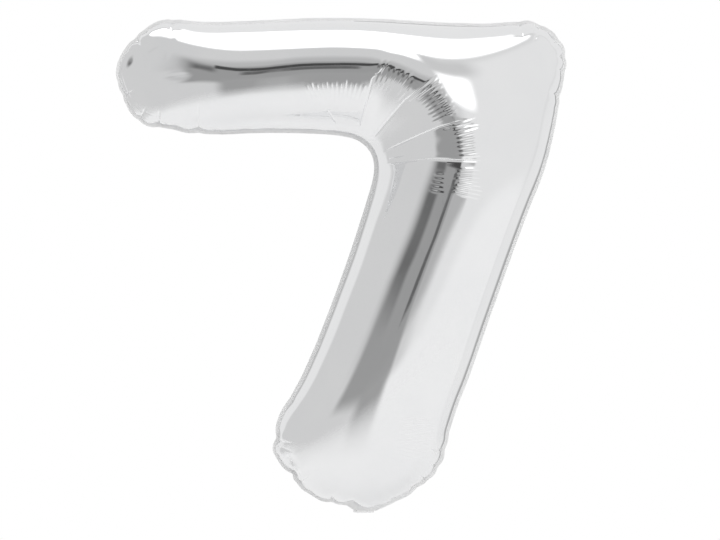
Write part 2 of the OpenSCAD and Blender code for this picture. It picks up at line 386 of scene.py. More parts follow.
def blowUp(points, faces, flat, steps, pressed, squeeze, scale=1.0):
    # lets the film settle under the gas: its threads stretch little and crowd easily
    edges, folds = edgesAndFolds(faces)
    bendAway = np.linalg.norm(flat[edges].mean(1) - blowing["bend"], axis=1)
    squeeze = squeeze[0] + (squeeze[1] - squeeze[0]) * np.exp(-(bendAway / blowing["bendReach"]) ** 4)
    edgeRest = np.linalg.norm(flat[edges[:, 0]] - flat[edges[:, 1]], axis=1)
    foldRest = np.linalg.norm(flat[folds[:, 0]] - flat[folds[:, 1]], axis=1)
    apart = foldRest > edgeRest.mean() * 0.5
    folds, foldRest = folds[apart], foldRest[apart]
    e0, e1 = np.ascontiguousarray(edges.T)
    b0, b1 = np.ascontiguousarray(folds.T)
    t0, t1, t2 = np.ascontiguousarray(faces[pressed].T)
    where = np.concatenate([e0, b0, t0, e1, b1, t1, t2])
    x = np.ascontiguousarray(points.T)
    count = x.shape[1]
    push = blowing["pressure"] / 6 * scale
    inverseEdge, inverseFold = 1 / edgeRest, 1 / foldRest

    def pull(x):
        d = x[:, e1] - x[:, e0]
        size = np.sqrt((d * d).sum(0))
        strain = size * inverseEdge - 1
        threads = d * (blowing["stretch"] * np.where(strain > 0, strain, strain * squeeze) / size)
        d = x[:, b1] - x[:, b0]
        size = np.sqrt((d * d).sum(0))
        hinges = d * (blowing["fold"] * np.minimum(size * inverseFold - 1, 0) / size)
        u, w = x[:, t1] - x[:, t0], x[:, t2] - x[:, t0]
        swell = (u[1] * w[2] - u[2] * w[1], u[2] * w[0] - u[0] * w[2], u[0] * w[1] - u[1] * w[0])
        force = np.empty_like(x)
        for k in range(3):
            gas = swell[k] * push
            parts = [threads[k], hinges[k], gas, -threads[k], -hinges[k], gas, gas]
            force[k] = np.bincount(where, weights=np.concatenate(parts), minlength=count)
        return force

    # each step goes with the forces: longer while they agree with the motion, and from a stop when not
    speed = np.zeros_like(x)
    step, blend, good = pacing["start"], pacing["blend"], 0
    force = pull(x)
    for _ in range(steps):
        if (force * speed).sum() > 0:
            turn = blend * math.sqrt((speed * speed).sum() / (force * force).sum())
            speed = (1 - blend) * speed + turn * force
            good += 1
            if good > pacing["patience"]:
                step = min(step * 1.1, pacing["longest"])
                blend *= 0.99
        else:
            speed[:] = 0
            step, blend, good = step * 0.5, pacing["blend"], 0
        speed += step * force
        move = step * speed
        longest = np.abs(move).max()
        if longest > pacing["move"]:
            move *= pacing["move"] / longest
            speed *= pacing["move"] / longest
        x = x + move
        force = pull(x)
    return np.ascontiguousarray(x.T)


def halved(faces, count):
    # each triangle cut into four; the new points follow the old ones, one on each edge
    ends = np.sort(np.vstack([faces[:, [0, 1]], faces[:, [1, 2]], faces[:, [2, 0]]]), 1)
    edges, which = np.unique(ends, axis=0, return_inverse=True)
    which = which.reshape(3, -1) + count
    a, b, c = faces.T
    ab, bc, ca = which
    smaller = np.stack([np.stack(t, 1) for t in ((a, ab, ca), (ab, b, bc), (ca, bc, c), (ab, bc, ca))], 1)
    return edges, smaller.reshape(-1, 3)


def withMargin(points, faces, flat, seam, margin):
    # a row of triangles outside the seam, which stiffens it while the film settles
    out = outwards(flat[seam])
    outerFlat = flat[seam] + out * margin
    count = len(points)
    outer = points[seam] + np.stack([out[:, 0], np.zeros(len(seam)), out[:, 1]], 1) * margin
    ring = np.arange(len(seam))
    after = (ring + 1) % len(seam)
    strip = np.vstack([
        np.stack([seam[ring], count + ring, seam[after]], 1),
        np.stack([seam[after], count + ring, count + after], 1),
    ])
    return (
        np.vstack([points, outer]), np.vstack([faces, strip]), np.vstack([flat, outerFlat]), count + ring,
    )


def inflatePanels():
    # a coarse blow finds the shape, and a finer one finds the folds of the film
    cut = evenly(roundedOutline(panelCut["corners"], 3), panelCut["spacing"])
    seamLine = evenly(cut - outwards(cut) * panelCut["margin"], panelCut["spacing"])
    flat, faces, border = flatPanel(seamLine, panelCut["spacing"])
    points, faces, flat, frontCount = twoPanels(flat, faces, border)
    rng = np.random.default_rng(blowing["seed"])
    points += rng.normal(0, 0.2, points.shape)
    pressed = np.arange(len(faces))
    points = blowUp(points, faces, flat, blowing["firstSteps"], pressed, blowing["firstSqueeze"])
    print("first blow:", len(points), "points, depth", np.ptp(points[:, 1]).round(1))
    seam = np.arange(border)
    edges, faces = halved(faces, len(points))
    middle = {tuple(e): len(points) + i for i, e in enumerate(edges)}
    points = np.vstack([points, points[edges].mean(1)])
    flat = np.vstack([flat, flat[edges].mean(1)])
    longer = []
    for i in range(border):
        j = (i + 1) % border
        longer += [i, middle[(min(i, j), max(i, j))]]
    seam = np.array(longer)
    frontCount *= 4
    pressed = np.arange(len(faces))
    points, faces, flat, rim = withMargin(points, faces, flat, seam, panelCut["margin"])
    points = blowUp(points, faces, flat, blowing["secondSteps"], pressed, blowing["secondSqueeze"], 2.0)
    print("second blow:", len(points), "points, depth", np.ptp(points[:, 1]).round(1))
    return {
        "points": points, "flat": flat,
        "front": faces[:frontCount], "back": faces[frontCount:2 * frontCount],
        "strip": faces[2 * frontCount:], "seam": seam, "rim": rim,
    }


film = inflatePanels()

# finer film: each step halves the triangles and smooths them, everywhere or only where chosen


def finer(panel, chosen=None):
    points, flat, faces, seam = panel["points"], panel["flat"], panel["faces"], panel["seam"]
    count = len(points)
    ends = np.sort(np.vstack([faces[:, [0, 1]], faces[:, [1, 2]], faces[:, [2, 0]]]), 1)
    opposite = np.r_[faces[:, 2], faces[:, 0], faces[:, 1]]
    key, first, which, uses = np.unique(
        ends[:, 0] * count + ends[:, 1], return_index=True, return_inverse=True, return_counts=True
    )
    edges = ends[first]
    split = np.ones(len(edges), bool) if chosen is None else chosen[edges].all(1)
    number = np.full(len(edges), -1)
    number[split] = count + np.arange(split.sum())
    facing = np.stack([np.bincount(which, points[opposite, k], len(edges)) for k in range(3)], 1)
    both = points[edges].sum(1)
    rim = uses == 1
    middle = np.where(rim[:, None], both * 0.5, both * 0.375 + facing * 0.125)

    def around(pairs):
        a, b = pairs.T
        total = [
            np.bincount(a, points[b, k], count) + np.bincount(b, points[a, k], count) for k in range(3)
        ]
        return np.stack(total, 1), np.bincount(pairs.ravel(), minlength=count)

    total, valence = around(edges)
    valence = np.maximum(valence, 1)
    weight = 0.625 - (0.375 + 0.25 * np.cos(2 * math.pi / valence)) ** 2
    eased = points + (total / valence[:, None] - points) * weight[:, None]
    total, onRim = around(edges[rim])
    eased[onRim > 0] = (0.75 * points + 0.125 * total)[onRim > 0]
    if chosen is not None:
        eased[~chosen] = points[~chosen]

    a, b, c = faces.T
    ab, bc, ca = number[which.reshape(3, -1)]
    whole = (ab >= 0) & (bc >= 0) & (ca >= 0)
    kept = (ab < 0) & (bc < 0) & (ca < 0)
    parts = [faces[kept]]
    for corners in ((a, ab, ca), (ab, b, bc), (ca, bc, c), (ab, bc, ca)):
        parts.append(np.stack(corners, 1)[whole])
    for start, end, tip, cut in ((a, b, c, ab), (b, c, a, bc), (c, a, b, ca)):
        once = (cut >= 0) & ~whole
        parts.append(np.stack([start, cut, tip], 1)[once])
        parts.append(np.stack([cut, end, tip], 1)[once])
    after = np.roll(seam, -1)
    at = np.searchsorted(key, np.minimum(seam, after) * count + np.maximum(seam, after))
    seam = np.stack([seam, number[at]], 1).ravel()
    return {
        "points": np.vstack([eased, middle[split]]),
        "flat": np.vstack([flat, flat[edges[split]].mean(1)]),
        "faces": np.vstack(parts),
        "seam": seam[seam >= 0],
    }


def normalsOf(points, faces):
    a, b, c = points[faces[:, 0]], points[faces[:, 1]], points[faces[:, 2]]
    face = np.cross(b - a, c - a)
    normal = np.zeros_like(points)
    for axis in range(3):
        normal[:, axis] = sum(np.bincount(faces[:, k], face[:, axis], len(points)) for k in range(3))
    return normal / np.maximum(np.linalg.norm(normal, axis=1), 1e-12)[:, None]


def smoothLoop(values, sigma, spacing):
    # values along a closed line, eased over a length
    reach = int(3 * sigma / spacing) + 1
    offsets = np.arange(-reach, reach + 1)
    weights = np.exp(-((offsets * spacing / sigma) ** 2) / 2)
    weights /= weights.sum()
    return sum(w * np.roll(values, int(o), axis=0) for w, o in zip(weights, offsets))


def nearestOnSeam(flat, seamFlat):
    # for each point of the film, the nearest point of the seam and how far away it is
    nearest = np.empty(len(flat), int)
    away = np.empty(len(flat))
    for start in range(0, len(flat), 4000):
        part = flat[start:start + 4000]
        gap = ((part[:, None, :] - seamFlat[None]) ** 2).sum(2)
        nearest[start:start + 4000] = gap.argmin(1)
        away[start:start + 4000] = np.sqrt(gap.min(1))
    return nearest, away


edgeEase = {
    "sigma": 16,  # the seam's small lobes are eased over this length
    "share": 0.55,  # how much of each lobe is eased away
    "reach": 45,  # how far into the panel the ease goes
}


def easeSeam(film):
    # crowding bunches the seam into lobes; hands and heat smooth them out in part
    seam, points = film["seam"], film["points"]
    line = points[seam]
    spacing = np.linalg.norm(line - np.roll(line, 1, 0), axis=1).mean()
    shift = (smoothLoop(line, edgeEase["sigma"], spacing) - line) * edgeEase["share"]
    shift[:, 1] = -line[:, 1]
    nearest, away = nearestOnSeam(film["flat"], film["flat"][seam])
    eased = points + shift[nearest] * np.exp(-((away / edgeEase["reach"]) ** 2))[:, None]
    eased[seam] = line + shift
    return eased


film["points"] = easeSeam(film)

# the arm flattens towards its end, and deep pleats pinch the seam where it turns
armTaper = {"from": -215, "length": 215, "share": 0.66, "power": 2}
seamLobes = [
    # where on the seam, how far it is pushed out, over what half width
    (8, 12, 5.5, 34), (-162, 108, 4, 16), (-424, 766, 8, 42), (-312, 667, 3, 18), (350, 760, 2, 30),
]
seamPleats = [
    # where on the seam, how far it is pulled in, how far its valley runs in
    (-333, 856, 3, 26), (-396, 826, 4, 22), (-423, 732, 4, 30), (-393, 690, 3, 24), (-358, 677, 4, 26),
    (-288, 667, 2.5, 44), (272, 857, 4, 34), (310, 852, 2.5, 40), (346, 828, 4, 20), (348, 800, 3, 18),
    (349, 772, 3, 16), (343, 730, 4, 22), (-152, 127, 4, 34), (-106, 59, 2.5, 38), (-55, 28, 4, 24),
    (89, 42, 3, 26), (115, 57, 3, 18), (132, 77, 3, 18), (138, 109, 4, 26),
]
pleatWidth = 6  # along the seam
pleatReach = 18  # into the panel
pinchEase = 20  # lobes and pleats are square to the seam as eased over this length
valleyStart = 1.5  # from the seam
valleyDepth = 0.8  # share of the pleat's pull


def pinchSeam(film):
    # tapers the arm's end, shapes the seam, and gives the valleys that run in from its pleats
    points, flat, seam = film["points"], film["flat"], film["seam"]
    reach = np.clip((armTaper["from"] - points[:, 0]) / armTaper["length"], 0, 1)
    points[:, 1] *= 1 - armTaper["share"] * reach ** armTaper["power"]
    line = points[seam][:, [0, 2]]
    spacing = np.linalg.norm(line - np.roll(line, 1, 0), axis=1).mean()
    inwards = -outwards(smoothLoop(line, pinchEase, spacing))
    nearest, away = nearestOnSeam(flat, flat[seam])
    valleys = []
    for x, z, push, width in seamLobes:
        at = int(((line - [x, z]) ** 2).sum(1).argmin())
        gap = np.linalg.norm(line - line[at], axis=1)
        shift = -inwards[at] * (push * np.exp(-((gap / width) ** 2)))[:, None]
        points[:, [0, 2]] += shift[nearest] * np.exp(-((away / (2 * width)) ** 2))[:, None]
    line = points[seam][:, [0, 2]]
    for x, z, depth, length in seamPleats:
        at = int(((line - [x, z]) ** 2).sum(1).argmin())
        gap = np.linalg.norm(line - line[at], axis=1)
        pull = depth * np.exp(-((gap / pleatWidth) ** 2))
        pull -= 0.25 * depth * np.exp(-((gap / (3 * pleatWidth)) ** 2))
        shift = inwards[at] * pull[:, None]
        fall = np.exp(-((away / pleatReach) ** 2))[:, None]
        points[:, [0, 2]] += shift[nearest] * fall
        ends = [line[at] + inwards[at] * reach for reach in (valleyStart, length)]
        valleys.append({"line": ends, "depth": valleyDepth * depth, "pleat": True})
    return valleys


pleatValleys = pinchSeam(film)


# creases round the inner bend and short wrinkles where the film is crowded, in millimetres
bendCentre = np.array([-45.0, 598.0])
longCreases = [
    {"line": [(-7, 668), (16, 750), (50, 782)], "depth": 1.5},
    {"line": [(17, 654), (69, 711), (126, 757)], "depth": 1.5},
    {"line": [(72, 706), (134, 745)], "depth": 0.9},
    {"line": [(31, 628), (127, 666), (183, 681)], "depth": 1.5},
    {"line": [(130, 662), (204, 672)], "depth": 0.8},
    {"line": [(36, 609), (110, 612), (218, 607)], "depth": 1.6},
    {"line": [(40, 618), (75, 622)], "depth": 0.8},
    {"line": [(-63, 700), (-42, 673)], "depth": 1.2},
    {
        "line": [(-419, 793), (-424, 767), (-412, 732), (-388, 702), (-356, 690)],
        "depth": 1.3, "local": True,
    },
    {"line": [(310, 850), (342, 829)], "depth": 2.2, "local": True},
    {"line": [(-151, 119), (-123, 110)], "depth": 2.0, "local": True},
    {"line": [(-134, 106), (-122, 82), (-106, 59)], "depth": 2.4, "local": True},
    {"line": [(-55, 24), (-44, 47)], "depth": 2.0, "local": True},
    {"line": [(10, 19), (48, 25), (87, 43)], "depth": 1.2, "local": True},
]
softDents = [
    # shallow dents: middle, half length and half width, direction in degrees, depth
    {"at": (-402, 786), "size": (20, 10), "turn": 60, "depth": 4.2},
    {"at": (-321, 758), "size": (30, 6), "turn": 4, "depth": 1.1},
    {"at": (-368, 800), "size": (24, 7), "turn": 25, "depth": 1.2},
    {"at": (-118, 86), "size": (28, 9), "turn": -60, "depth": 3.5},
    {"at": (-332, 815), "size": (16, 4), "turn": 70, "depth": 0.8},
    {"at": (318, 700), "size": (60, 9), "turn": 78, "depth": 0.9},
]
creaseWidth = 2.2  # half the width of a crease's sharp valley
creaseSharp = 0.6  # share of a crease's depth that is its sharp valley
troughWidth = 11  # half the width of the soft trough beside it
troughDepth = 0.55
creaseEnds = (0.12, 0.35)  # shares of a crease's length over which its two ends fade
creaseInset = 6  # creases die away this near to the seam
pleatEnd = 0.9  # a pleat's valley starts at full depth and fades over this share
wrinkleRows = [
    # about a centre: directions in degrees, nearest and furthest reach, how many, how high
    {"centre": (-45, 598), "turn": (112, 70), "reach": (112, 157), "count": 13, "height": 0.55},
    {"centre": (-45, 598), "turn": (68, 47), "reach": (150, 206), "count": 8, "height": 0.7},
    {"centre": (-45, 598), "turn": (43, 24), "reach": (170, 228), "count": 9, "height": 0.65},
    {"centre": (-45, 598), "turn": (20, 4), "reach": (190, 254), "count": 8, "height": 0.6},
    {"centre": (-45, 598), "turn": (0, -13), "reach": (198, 252), "count": 8, "height": 0.55},
    {"centre": (-45, 598), "turn": (-3, -15), "reach": (160, 188), "count": 5, "height": 0.28},
    {"centre": (-260, 210), "turn": (-6, -18), "reach": (320, 392), "count": 11, "height": 0.28},
]
wrinkleSeed = {"front": 11, "back": 23}
backTwist = 4.0  # the back's creases lie a few degrees round from the front's


def creaseField(points, side):
    # height of the film over its smooth shape, and where the film is busy
    rng = np.random.default_rng(wrinkleSeed[side])
    flatPoint = points[:, [0, 2]]
    if side == "back":
        turn = math.radians(backTwist)
        arm = flatPoint - bendCentre
        spin = np.array([[math.cos(turn), -math.sin(turn)], [math.sin(turn), math.cos(turn)]])
        flatPoint = bendCentre + arm @ spin
    height = np.zeros(len(points))
    busy = np.zeros(len(points), bool)
    sharp = np.zeros(len(points), bool)
    for crease in longCreases + pleatValleys:
        pleat = "pleat" in crease
        place = points[:, [0, 2]] if pleat or "local" in crease else flatPoint
        line = np.array(crease["line"], float)
        length = np.r_[0, np.cumsum(np.linalg.norm(np.diff(line, axis=0), axis=1))]
        nearest = np.full(len(points), 1e9)
        along = np.zeros(len(points))
        for i in range(len(line) - 1):
            step = line[i + 1] - line[i]
            share = np.clip((place - line[i]) @ step / (step @ step), 0, 1)
            gap = np.linalg.norm(place - line[i] - share[:, None] * step, axis=1)
            closer = gap < nearest
            nearest[closer] = gap[closer]
            along[closer] = length[i] + share[closer] * (length[i + 1] - length[i])
        along /= length[-1]
        fade = np.clip(along / creaseEnds[0] + pleat, 0, 1)
        fade *= np.clip((1 - along) / (pleatEnd if pleat else creaseEnds[1]), 0, 1)
        fade = fade * fade * (3 - 2 * fade)
        valley = np.maximum(1 - nearest / creaseWidth, 0)
        trough = np.exp(-((nearest / troughWidth) ** 2))
        trough -= 0.5 * np.exp(-((nearest / (2 * troughWidth)) ** 2))
        height -= fade * (crease["depth"] * creaseSharp * valley + troughDepth * crease["depth"] * trough)
        busy |= (nearest < 2 * creaseWidth) & (fade > 0)
        sharp |= (nearest < 1.2 * creaseWidth) & (fade > 0) & (not pleat)
    for dent in softDents:
        turn = math.radians(dent["turn"])
        arm = points[:, [0, 2]] - dent["at"]
        along = (arm[:, 0] * math.cos(turn) + arm[:, 1] * math.sin(turn)) / dent["size"][0]
        aside = (arm[:, 1] * math.cos(turn) - arm[:, 0] * math.sin(turn)) / dent["size"][1]
        height -= dent["depth"] * np.exp(-(along ** 2) - aside ** 2)
    for row in wrinkleRows:
        arm = flatPoint - row["centre"]
        reach = np.linalg.norm(arm, axis=1)
        turn = np.degrees(np.arctan2(arm[:, 1], arm[:, 0]))
        place = (turn - row["turn"][0]) / (row["turn"][1] - row["turn"][0]) * row["count"]
        number = np.clip(np.floor(place).astype(int), 0, row["count"] - 1)
        span = row["reach"][1] - row["reach"][0]
        start = row["reach"][0] + span * rng.uniform(0, 0.2, row["count"])
        end = row["reach"][1] - span * rng.uniform(0, 0.22, row["count"])
        tall = row["height"] * rng.uniform(0.7, 1.15, row["count"])
        share = (reach - start[number]) / (end - start)[number]
        inside = (place > 0) & (place < row["count"]) & (share > 0) & (share < 1)
        share = np.clip(share, 0, 1)
        profile = np.abs(np.sin(math.pi * place)) ** 1.5 * np.sin(math.pi * share) ** 0.8
        height += np.where(inside, tall[number] * profile, 0)
        busy |= inside
    return height, busy, sharp


ironing = {
    "rounds": 26,
    "reach": 205,  # round the bend's centre
    "fade": 60,  # the ease dies away over this length
    "far": 0.12,  # what is left of it far from the bend
    "edge": 14,  # nothing is eased nearer to the seam
}


def ironed(panel):
    # the blown film's own fine wrinkles round the bend are eased out before the creases are laid in
    points, faces = panel["points"], panel["faces"]
    ends = np.vstack([faces[:, [0, 1]], faces[:, [1, 2]], faces[:, [2, 0]]])
    pairs = np.vstack([ends, ends[:, ::-1]])
    valence = np.bincount(pairs[:, 0], minlength=len(points))[:, None]
    away = nearestOnSeam(panel["flat"], panel["flat"][panel["seam"]])[1]
    reach = np.linalg.norm(points[:, [0, 2]] - bendCentre, axis=1)
    share = np.clip(away / ironing["edge"] - 0.3, 0, 1)
    share *= np.clip((ironing["reach"] - reach) / ironing["fade"] + 0.15, ironing["far"], 1)
    share = 0.5 * share[:, None]
    for _ in range(ironing["rounds"]):
        total = [np.bincount(pairs[:, 0], points[pairs[:, 1], k], len(points)) for k in range(3)]
        total = np.stack(total, 1)
        points = points + (total / valence - points) * share
    panel["points"] = points


def detailPanel(film, faces, side):
    # one panel, ironed, made finer where it has creases, and creased
    used, which = np.unique(faces, return_inverse=True)
    panel = {
        "points": film["points"][used], "flat": film["flat"][used], "faces": which.reshape(-1, 3),
        "seam": np.searchsorted(used, film["seam"]),
    }
    ironed(panel)
    panel = finer(panel)
    busy = creaseField(panel["points"], side)[1]
    busy[panel["seam"]] = False  # both panels keep the same seam
    panel = finer(panel, busy)
    sharp = creaseField(panel["points"], side)[2]
    sharp[panel["seam"]] = False
    panel = finer(panel, sharp)
    height = creaseField(panel["points"], side)[0]
    nearest, away = nearestOnSeam(panel["flat"], panel["flat"][panel["seam"]])
    height *= np.clip(away / creaseInset, 0, 1)
    panel["points"] += normalsOf(panel["points"], panel["faces"]) * height[:, None]
    panel["nearest"], panel["away"] = nearest, away
    print(side, "panel:", len(panel["faces"]), "triangles")
    return panel


panels = {side: detailPanel(film, film[side], side) for side in ("front", "back")}

# the welded margin round each panel
margin = {
    "rings": 3,
    "filmGap": 0.3,  # from the plane of the seam to each film
    "flutter": 0.7,  # how far the free edge waves
    "flutterLength": 7,
    "flutterSeed": 5,
    "flutterAtNeck": 0.2,  # share of the wave left beside the neck
    "sideEase": 5,  # the way out of the seam is eased over this length
    "edgeEase": 4,
    "fillet": 26,  # the margin runs into the neck over this width
    "lowEnd": 60,  # nothing above this height belongs to the neck's root
    "liftReach": 20,  # the film's lift off the seam's plane dies away over this length
}
neck = {
    "width": 36,
    "channel": 13,  # half the free width between the neck's welds
    "length": 75,
    "stow": 110,  # how far the stored neck is turned back and up, in degrees
    "bulge": 1.05,  # how far each film stands off round the valve
    "foldGap": 2.7,  # bare film on each side of the fold
    "lap": 1.5,  # how far the neck's film runs up inside the margin
    "columns": 30,
    "crinkle": 0.22,
    "crinkleWaves": (0.42, 0.09, 0.21, 0.1),  # radians a millimetre: across, along, along, across
    "foldPress": 0.75,  # share of the rise that the fold presses out
    "foldReach": 1.6,
}


def channelRise(x):
    # 1 over the valve's channel, 0 over the welds beside it
    rise = np.clip((neck["channel"] - np.abs(x)) / 2.5 + 0.4, 0, 1)
    return rise * rise * (3 - 2 * rise)


def marginLines(panel):
    # the same for both panels, because they share the seam
    line = panel["points"][panel["seam"]] * [1, 0, 1]
    spacing = np.linalg.norm(line - np.roll(line, 1, 0), axis=1).mean()
    out = outwards(smoothLoop(line[:, [0, 2]], margin["sideEase"], spacing))
    out = np.stack([out[:, 0], np.zeros(len(out)), out[:, 1]], 1)
    low = (line[:, 2] < margin["lowEnd"]) & (np.abs(line[:, 0]) < margin["lowEnd"])
    rng = np.random.default_rng(margin["flutterSeed"])
    wave = smoothLoop(rng.normal(0, 1, len(line)), margin["flutterLength"], spacing)
    wave *= margin["flutter"] / wave.std() / 2
    wave[low] *= margin["flutterAtNeck"]
    lines = []
    for k in range(1, margin["rings"] + 1):
        share = k / margin["rings"]
        ring = line + out * (panelCut["margin"] * share)
        ring[:, 1] = wave * share ** 1.5
        lines.append(ring)
    lines[-1] = smoothLoop(lines[-1], margin["edgeEase"], spacing)
    reach = np.exp(-((lines[-1][:, 0] / margin["fillet"]) ** 4)) * low
    for k, ring in enumerate(lines):
        share = (k + 1) / margin["rings"]
        ring[:, 2] += (neck["foldGap"] + panelCut["margin"] * (1 - share) - ring[:, 2]) * reach * share
    return lines


def filmLift(points):
    # how far a film stands off the seam's plane: further over the valve's channel
    rise = channelRise(points[:, 0]) * (points[:, 2] < margin["lowEnd"])
    return margin["filmGap"] + (neck["bulge"] - margin["filmGap"]) * rise


def addMargin(panel, side, lines):
    sign = -1 if side == "front" else 1
    points, faces, seam = panel["points"], panel["faces"], panel["seam"]
    near = np.exp(-panel["away"] / margin["liftReach"])
    points[:, 1] += sign * (filmLift(points) * near)
    after = np.roll(np.arange(len(seam)), -1)
    flatOut = outwards(panel["flat"][seam])
    previous = seam
    count = len(points)
    added, addedFlat, strips = [], [], []
    for k, ring in enumerate(lines):
        ring = ring.copy()
        ring[:, 1] += sign * filmLift(ring)
        number = count + k * len(seam) + np.arange(len(seam))
        quads = np.stack([previous, number, number[after], previous[after]], 1)
        strips.append(quads[:, [0, 1, 2]])
        strips.append(quads[:, [0, 2, 3]])
        added.append(ring)
        addedFlat.append(panel["flat"][seam] + flatOut * panelCut["margin"] * (k + 1) / margin["rings"])
        previous = number
    strips = np.vstack(strips)
    points = np.vstack([points] + added)
    a, b, c = (points[strips[:, k]] for k in range(3))
    wrong = np.cross(b - a, c - a)[:, 1].sum() * sign < 0
    if wrong:
        strips = strips[:, ::-1]
    panel["away"] = np.r_[panel["away"], np.zeros(len(points) - count)]
    panel["nearest"] = np.r_[panel["nearest"], np.tile(np.arange(len(seam)), len(lines))]
    panel["points"], panel["faces"] = points, np.vstack([faces, strips])
    panel["flat"] = np.vstack([panel["flat"]] + addedFlat)
    panel["marginStart"] = count


marginRings = marginLines(panels["front"])
for side in panels:
    addMargin(panels[side], side, marginRings)


def filmPiece(name, panel):
    # the mesh, with a sharp seam, the flat cut as its UV map, and what the finish reads
    piece = newPiece(name, mm(panel["points"]), panel["faces"])
    mesh = piece.data
    seamEdges = set()
    seam = panel["seam"]
    for a, b in zip(seam, np.roll(seam, -1)):
        seamEdges.add((min(a, b), max(a, b)))
    ends = np.empty(len(mesh.edges) * 2, np.int32)
    mesh.edges.foreach_get("vertices", ends)
    ends = np.sort(ends.reshape(-1, 2), 1)
    count = len(panel["points"])
    wanted = np.array([a * count + b for a, b in seamEdges])
    sharp = np.isin(ends[:, 0].astype(np.int64) * count + ends[:, 1], wanted)
    mesh.edges.foreach_set("use_edge_sharp", sharp)
    layer = mesh.uv_layers.new(name="flatCut")
    corner = np.empty(len(mesh.loops), np.int32)
    mesh.loops.foreach_get("vertex_index", corner)
    layer.data.foreach_set("uv", mm(panel["flat"][corner]).ravel().astype(np.float32))
    line = panel["flat"][panel["seam"]]
    step = np.roll(line, -1, 0) - np.roll(line, 1, 0)
    step /= np.linalg.norm(step, axis=1)[:, None]
    arc = np.cumsum(np.linalg.norm(line - np.roll(line, 1, 0), axis=1))
    nearest = panel["nearest"]
    along = mm(arc[nearest] + ((panel["flat"] - line[nearest]) * step[nearest]).sum(1))
    for label, values in (("seamAway", mm(panel["away"])), ("seamAlong", along)):
        attribute = mesh.attributes.new(label, "FLOAT", "POINT")
        attribute.data.foreach_set("value", np.asarray(values, np.float32))
    onMargin = (corner.reshape(-1, 3) >= panel["marginStart"]).any(1)
    attribute = mesh.attributes.new("weld", "FLOAT", "CORNER")
    attribute.data.foreach_set("value", np.repeat(onMargin, 3).astype(np.float32))
    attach(piece, "balloon")
    return piece


frontFoil = filmPiece("frontFoil", panels["front"])
backFoil = filmPiece("backFoil", panels["back"])
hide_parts("front_foil")
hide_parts("back_foil")


def stripWalls(count, sides, first=0):
    # faces of a strip with the same loop of points all along it, and of its two ends
    faces = []
    for i in range(count - 1):
        here = first + i * sides
        for k in range(sides):
            m = (k + 1) % sides
            faces.append((here + k, here + sides + k, here + sides + m, here + m))
    last = first + (count - 1) * sides
    faces.append(tuple(range(first, first + sides)))
    faces.append(tuple(last + k for k in reversed(range(sides))))
    return faces


weldShape = {
    "clear": 0.03,  # between the weld and each film
    "shy": 0.08,  # share of the last ring's width by which the weld stops short of the edge
    "neckShy": 0.15,  # the same at the neck's edge, in millimetres
}


def facesOutwards(piece):
    startPiece()
    piece.select_set(True)
    bpy.context.view_layer.objects.active = piece
    bpy.ops.object.mode_set(mode="EDIT")
    bpy.ops.mesh.select_all(action="SELECT")
    bpy.ops.mesh.normals_make_consistent(inside=False)
    bpy.ops.object.mode_set(mode="OBJECT")


def makeEdgeWeld(panel, lines):
    # the fused layer between the two margins, left open where the valve passes
    half = margin["filmGap"] - weldShape["clear"]
    seamLine = panel["points"][panel["seam"]] * [1, 0, 1]
    rows = [seamLine] + [ring.copy() for ring in lines]
    rows[-1] = rows[-1] + (rows[-2] - rows[-1]) * weldShape["shy"]
    section = [r + [0, -half, 0] for r in rows] + [r + [0, half, 0] for r in reversed(rows)]
    section = np.stack(section, 1)  # round the seam, then round the section
    channel = (np.abs(seamLine[:, 0]) < neck["channel"]) & (seamLine[:, 2] < margin["lowEnd"])
    order = np.roll(np.arange(len(seamLine)), -int(np.flatnonzero(channel)[0]))
    order = order[~channel[order]]
    walls = stripWalls(len(order), section.shape[1])
    piece = newPiece("edgeWeld", mm(section[order].reshape(-1, 3)), walls, smooth=False)
    facesOutwards(piece)
    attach(piece, "balloon")
    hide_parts("edge_weld")
    return piece


edgeWeld = makeEdgeWeld(panels["front"], marginRings)
print("panels welded")


def neckPath():
    # the middle of the neck from inside the margin, round the fold and out to the mouth
    turn = math.radians(neck["stow"])
    radius = neck["foldGap"] / math.tan(turn / 2)
    way = [(0, neck["foldGap"] + neck["lap"] * k, 0, -1) for k in (1, 0.5)]
    for angle in np.linspace(0, turn, 14):
        y, z = radius - radius * math.cos(angle), neck["foldGap"] - radius * math.sin(angle)
        way.append((y, z, math.sin(angle), -math.cos(angle)))
    for reach in np.linspace(neck["foldGap"], neck["length"], 42)[1:]:
        way.append((reach * math.sin(turn), -reach * math.cos(turn), math.sin(turn), -math.cos(turn)))
    return np.array(way)


def neckSurface(across, stand):
    # points on the neck, by place across it and distance from its middle, towards the front or outside
    way = neckPath()
    y, z, dy, dz = (way[:, k][:, None] for k in range(4))
    normal = (dz, -dy)  # a quarter turn from the way along
    points = np.empty((len(way), len(across), 3))
    points[:, :, 0] = across[None, :]
    points[:, :, 1] = y + normal[0] * stand
    points[:, :, 2] = z + normal[1] * stand
    return points


def neckStand(across):
    # the films stand off round the valve and lie flat on the welds, and the fold presses them together
    way = neckPath()
    fromFold = np.hypot(way[:, 0], way[:, 1])[:, None]
    beyond = (way[:, 0] > 0.02)[:, None]  # past the straight lap inside the margin
    pressed = 1 - neck["foldPress"] * np.exp(-((fromFold / neck["foldReach"]) ** 2)) * beyond
    rise = channelRise(across)[None, :] * (neck["bulge"] - margin["filmGap"])
    a, b, c, d = neck["crinkleWaves"]
    wave = neck["crinkle"] * np.sin(across[None, :] * a + b * fromFold)
    wave = wave * np.sin(fromFold * c + across[None, :] * d)
    return margin["filmGap"] + rise * pressed + np.maximum(wave, 0) * np.clip(fromFold / 20 - 0.3, 0, 1)


